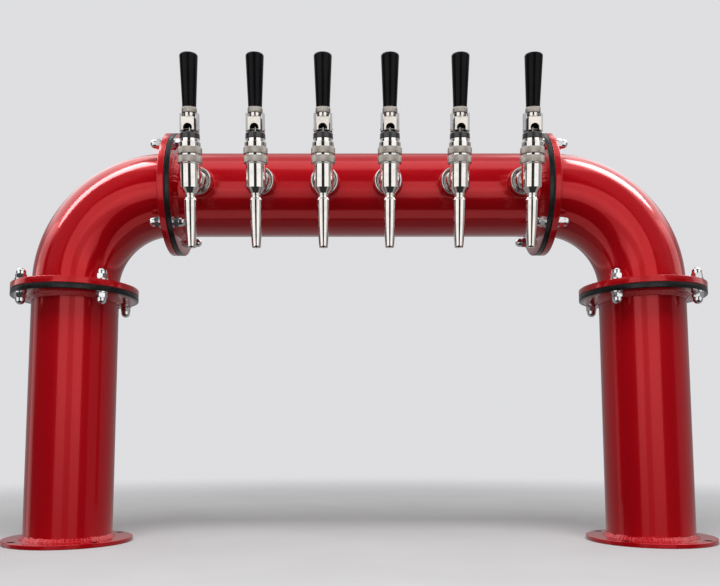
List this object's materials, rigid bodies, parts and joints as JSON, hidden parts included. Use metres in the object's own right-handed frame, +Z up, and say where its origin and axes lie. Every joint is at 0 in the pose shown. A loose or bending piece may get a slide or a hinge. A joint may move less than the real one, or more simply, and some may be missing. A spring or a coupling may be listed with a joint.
{
  "type": "beer tower dispenser",
  "caption": "Arch of flanged red steel pipe on two round feet, with upright stout taps along the header, each with a lever, lifting valve stem, shank and internal beer line.",
  "frame": {"origin": "on the counter plane, midway between the two columns, in the plane of their axes", "axes": "+X along the header, -Y towards the person pouring, +Z up"},
  "size_m": [0.9546, 0.2333, 0.6141],
  "materials": {
    "red_enamel": "deep glossy red enamel over steel",
    "black_enamel": "glossy black enamel",
    "gasket_rubber": "matt black sheet rubber",
    "zinc_steel": "bright zinc plated steel",
    "polished_chrome": "polished chrome",
    "knurled_steel": "matt knurled stainless steel",
    "bearing_black": "dark hard acetal",
    "handle_black": "glossy black phenolic",
    "seal_rubber": "food grade seal rubber",
    "hose_plastic": "clear beer line tube"
  },
  "bodies": {
    "tower": {"left_base_plate": "red_enamel", "right_base_plate": "red_enamel", "base_weld_beads": "red_enamel", "left_column_pipe": "red_enamel", "right_column_pipe": "red_enamel", "left_column_flange": "black_enamel", "right_column_flange": "black_enamel", "left_elbow": "red_enamel", "right_elbow": "red_enamel", "left_elbow_lower_flange": "red_enamel", "right_elbow_lower_flange": "red_enamel", "left_elbow_upper_flange": "red_enamel", "right_elbow_upper_flange": "red_enamel", "flange_gaskets": "gasket_rubber", "left_header_flange": "black_enamel", "right_header_flange": "black_enamel", "header_pipe": "red_enamel", "flange_weld_beads": "red_enamel", "flange_studs": "zinc_steel", "flange_washers": "zinc_steel", "flange_cap_nuts": "zinc_steel", "shank_bosses": "red_enamel", "shank_escutcheons": "polished_chrome", "faucet_shanks": "polished_chrome", "shank_saddle_washers": "zinc_steel", "shank_lock_nuts": "zinc_steel", "beer_lines": "hose_plastic", "faucet_bodies": "polished_chrome", "body_lock_rings": "knurled_steel", "faucet_bonnets": "polished_chrome", "stem_packings": "seal_rubber", "lever_bearing_rings": "bearing_black", "valve_seat_rings": "seal_rubber", "faucet_nozzles": "polished_chrome", "nozzle_restrictors": "polished_chrome"},
    "stem_1": {"valve_stem_1": "polished_chrome"},
    "lever_1": {"tap_lever_1": "polished_chrome", "lever_ferrule_1": "knurled_steel", "tap_handle_1": "handle_black"},
    "stem_2": {"valve_stem_2": "polished_chrome"},
    "lever_2": {"tap_lever_2": "polished_chrome", "lever_ferrule_2": "knurled_steel", "tap_handle_2": "handle_black"},
    "stem_3": {"valve_stem_3": "polished_chrome"},
    "lever_3": {"tap_lever_3": "polished_chrome", "lever_ferrule_3": "knurled_steel", "tap_handle_3": "handle_black"},
    "stem_4": {"valve_stem_4": "polished_chrome"},
    "lever_4": {"tap_lever_4": "polished_chrome", "lever_ferrule_4": "knurled_steel", "tap_handle_4": "handle_black"},
    "stem_5": {"valve_stem_5": "polished_chrome"},
    "lever_5": {"tap_lever_5": "polished_chrome", "lever_ferrule_5": "knurled_steel", "tap_handle_5": "handle_black"},
    "stem_6": {"valve_stem_6": "polished_chrome"},
    "lever_6": {"tap_lever_6": "polished_chrome", "lever_ferrule_6": "knurled_steel", "tap_handle_6": "handle_black"}
  },
  "joints": [
    {"name": "tap_1_stem_lift", "type": "slide", "parent": "tower", "child": "stem_1", "axis": [0, -0.1564, 0.9877], "range_m": [0, 0.00416]},
    {"name": "tap_1_lever_pull", "type": "hinge", "parent": "stem_1", "child": "lever_1", "pos_m": [-0.2125, -0.12443, 0.52233], "axis": [1, 0, 0], "range_deg": [0, 28]},
    {"name": "tap_2_stem_lift", "type": "slide", "parent": "tower", "child": "stem_2", "axis": [0, -0.1564, 0.9877], "range_m": [0, 0.00416]},
    {"name": "tap_2_lever_pull", "type": "hinge", "parent": "stem_2", "child": "lever_2", "pos_m": [-0.1305, -0.12443, 0.52233], "axis": [1, 0, 0], "range_deg": [0, 28]},
    {"name": "tap_3_stem_lift", "type": "slide", "parent": "tower", "child": "stem_3", "axis": [0, -0.1564, 0.9877], "range_m": [0, 0.00416]},
    {"name": "tap_3_lever_pull", "type": "hinge", "parent": "stem_3", "child": "lever_3", "pos_m": [-0.046, -0.12443, 0.52233], "axis": [1, 0, 0], "range_deg": [0, 28]},
    {"name": "tap_4_stem_lift", "type": "slide", "parent": "tower", "child": "stem_4", "axis": [0, -0.1564, 0.9877], "range_m": [0, 0.00416]},
    {"name": "tap_4_lever_pull", "type": "hinge", "parent": "stem_4", "child": "lever_4", "pos_m": [0.0375, -0.12443, 0.52233], "axis": [1, 0, 0], "range_deg": [0, 28]},
    {"name": "tap_5_stem_lift", "type": "slide", "parent": "tower", "child": "stem_5", "axis": [0, -0.1564, 0.9877], "range_m": [0, 0.00416]},
    {"name": "tap_5_lever_pull", "type": "hinge", "parent": "stem_5", "child": "lever_5", "pos_m": [0.125, -0.12443, 0.52233], "axis": [1, 0, 0], "range_deg": [0, 28]},
    {"name": "tap_6_stem_lift", "type": "slide", "parent": "tower", "child": "stem_6", "axis": [0, -0.1564, 0.9877], "range_m": [0, 0.00416]},
    {"name": "tap_6_lever_pull", "type": "hinge", "parent": "stem_6", "child": "lever_6", "pos_m": [0.216, -0.12443, 0.52233], "axis": [1, 0, 0], "range_deg": [0, 28]}
  ],
  "couplings": [
    {"joint": "tap_1_stem_lift", "follows": "tap_1_lever_pull", "m_per_rad": 0.0085},
    {"joint": "tap_2_stem_lift", "follows": "tap_2_lever_pull", "m_per_rad": 0.0085},
    {"joint": "tap_3_stem_lift", "follows": "tap_3_lever_pull", "m_per_rad": 0.0085},
    {"joint": "tap_4_stem_lift", "follows": "tap_4_lever_pull", "m_per_rad": 0.0085},
    {"joint": "tap_5_stem_lift", "follows": "tap_5_lever_pull", "m_per_rad": 0.0085},
    {"joint": "tap_6_stem_lift", "follows": "tap_6_lever_pull", "m_per_rad": 0.0085}
  ]
}
